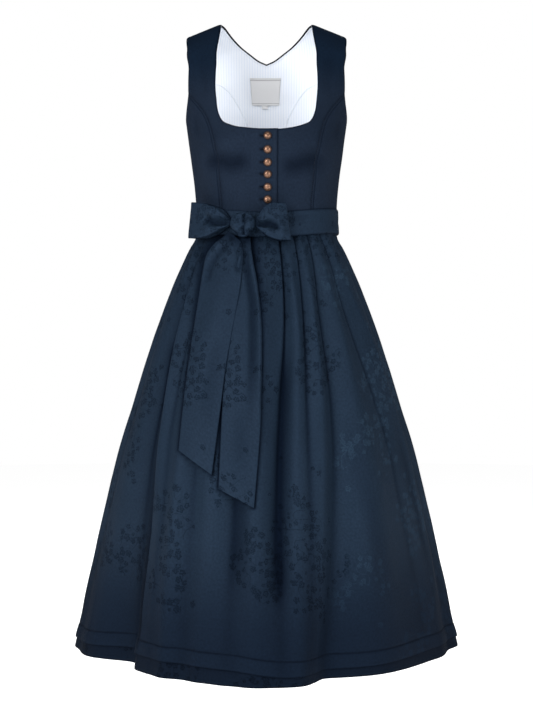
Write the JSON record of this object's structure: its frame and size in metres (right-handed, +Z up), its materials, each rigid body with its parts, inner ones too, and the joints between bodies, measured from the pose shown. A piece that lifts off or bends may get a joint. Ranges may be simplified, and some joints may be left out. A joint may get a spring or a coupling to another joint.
{
  "type": "dirndl",
  "caption": "Navy dirndl filled out as if worn: sleeveless bodice buttoned down the front, long gathered skirt, wrapped apron tied with a bow.",
  "frame": {"origin": "midway between the crests of the two shoulder straps, where the dress hangs from the wearer", "axes": "+Z up, -Y out of the dress's front, +X towards the wearer's left"},
  "size_m": [0.694, 0.6266, 1.1351],
  "materials": {
    "bodice_cloth": "plain navy twill with a soft sheen",
    "lining_cloth": "white cotton with fine pale blue stripes, matt",
    "label_cloth": "pale grey woven ribbon, matt",
    "skirt_cloth": "navy jacquard with flower sprays, satin",
    "apron_cloth": "navy jacquard with flower sprays, satin",
    "tie_cloth": "navy ribbon cloth, satin",
    "button_metal": "aged copper colour, hammered, half gloss"
  },
  "bodies": {
    "root": {"apron": "apron_cloth", "belt_back": "tie_cloth", "belt_front": "tie_cloth", "bodice_back": "bodice_cloth", "bodice_front_left": "bodice_cloth", "bodice_front_right": "bodice_cloth", "bodice_side_back_left": "bodice_cloth", "bodice_side_back_right": "bodice_cloth", "bodice_side_front_left": "bodice_cloth", "bodice_side_front_right": "bodice_cloth", "bow_knot": "tie_cloth", "bow_loop_left": "tie_cloth", "bow_loop_right": "tie_cloth", "bow_tail_left": "tie_cloth", "bow_tail_right": "tie_cloth", "button_1": "button_metal", "button_2": "button_metal", "button_3": "button_metal", "button_4": "button_metal", "button_5": "button_metal", "button_6": "button_metal", "label": "label_cloth", "lining_back": "lining_cloth", "lining_side_back_left": "lining_cloth", "lining_side_back_right": "lining_cloth", "size_tab": "label_cloth", "skirt_back": "skirt_cloth", "skirt_front": "skirt_cloth"}
  },
  "joints": []
}
